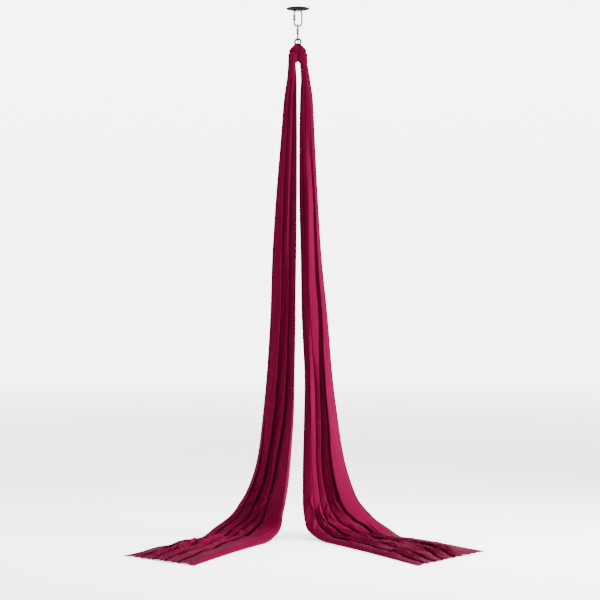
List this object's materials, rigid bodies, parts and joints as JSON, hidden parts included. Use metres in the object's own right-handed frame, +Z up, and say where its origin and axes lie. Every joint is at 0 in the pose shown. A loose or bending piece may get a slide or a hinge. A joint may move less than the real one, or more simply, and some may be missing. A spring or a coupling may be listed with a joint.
{
  "type": "aerial silks",
  "caption": "Aerial silks: a long wine-red cloth hitched at its middle round a figure-eight, on screw-gate carabiners under a round ceiling plate, its tails lying on the floor.",
  "frame": {"origin": "centre of the ceiling plate's top face, which is screwed to the ceiling", "axes": "+Z up out of the plate's top face, +X to the right across the open upper carabiner, +Y away from the viewer"},
  "size_m": [2.13, 1.0903, 3.2998],
  "materials": {
    "black_steel": "satin",
    "bright_steel": "satin",
    "pin_steel": "satin",
    "black_aluminium": "satin",
    "wine_silk": "satin"
  },
  "bodies": {
    "ceiling_mount": {"ceiling_plate": "black_steel", "hanger_eye": "bright_steel"},
    "upper_carabiner": {"upper_carabiner_body": "bright_steel"},
    "upper_gate_body": {"upper_gate": "bright_steel", "upper_gate_rivet": "pin_steel", "upper_gate_latch_pin": "pin_steel", "upper_gate_spring": "pin_steel", "upper_gate_plunger": "pin_steel"},
    "upper_sleeve": {"upper_gate_sleeve": "bright_steel"},
    "lower_carabiner": {"lower_carabiner_body": "bright_steel"},
    "lower_gate_body": {"lower_gate": "bright_steel", "lower_gate_rivet": "pin_steel", "lower_gate_latch_pin": "pin_steel", "lower_gate_spring": "pin_steel", "lower_gate_plunger": "pin_steel"},
    "lower_sleeve": {"lower_gate_sleeve": "bright_steel"},
    "figure_eight_body": {"figure_eight": "black_aluminium", "silk_hitch": "wine_silk"},
    "left_tail": {"silk_left_tail": "wine_silk"},
    "right_tail": {"silk_right_tail": "wine_silk"}
  },
  "joints": [
    {"name": "upper_carabiner_swing", "type": "hinge", "parent": "ceiling_mount", "child": "upper_carabiner", "pos_m": [0, 0, -0.0096], "axis": [1, 0, 0], "range_deg": [-20, 20]},
    {"name": "upper_gate_hinge", "type": "hinge", "parent": "upper_carabiner", "child": "upper_gate_body", "pos_m": [-0.022, 0, -0.0886], "axis": [0, 1, 0], "range_deg": [0, 24], "stiffness_Nm_per_rad": 0.6, "springref_deg": -17.19},
    {"name": "upper_sleeve_slide", "type": "slide", "parent": "upper_gate_body", "child": "upper_sleeve", "axis": [0, 0, 1], "range_m": [0, 0.013]},
    {"name": "lower_carabiner_swing", "type": "hinge", "parent": "upper_carabiner", "child": "lower_carabiner", "pos_m": [0, 0, -0.1003], "axis": [0, 1, 0], "range_deg": [-20, 20]},
    {"name": "lower_gate_hinge", "type": "hinge", "parent": "lower_carabiner", "child": "lower_gate_body", "pos_m": [0, -0.022, -0.1793], "axis": [-1, 0, 0], "range_deg": [0, 24], "stiffness_Nm_per_rad": 0.6, "springref_deg": -17.19},
    {"name": "lower_sleeve_slide", "type": "slide", "parent": "lower_gate_body", "child": "lower_sleeve", "axis": [0, 0, 1], "range_m": [0, 0.013]},
    {"name": "figure_eight_swing", "type": "hinge", "parent": "lower_carabiner", "child": "figure_eight_body", "pos_m": [0, 0, -0.19025], "axis": [1, 0, 0], "range_deg": [-15, 15]},
    {"name": "left_tail_spread", "type": "hinge", "parent": "figure_eight_body", "child": "left_tail", "pos_m": [-0.0595, -0.0233, -0.3398], "axis": [0, 1, 0], "range_deg": [0, 25]},
    {"name": "right_tail_spread", "type": "hinge", "parent": "figure_eight_body", "child": "right_tail", "pos_m": [0.0595, -0.0233, -0.3398], "axis": [0, -1, 0], "range_deg": [0, 25]}
  ]
}
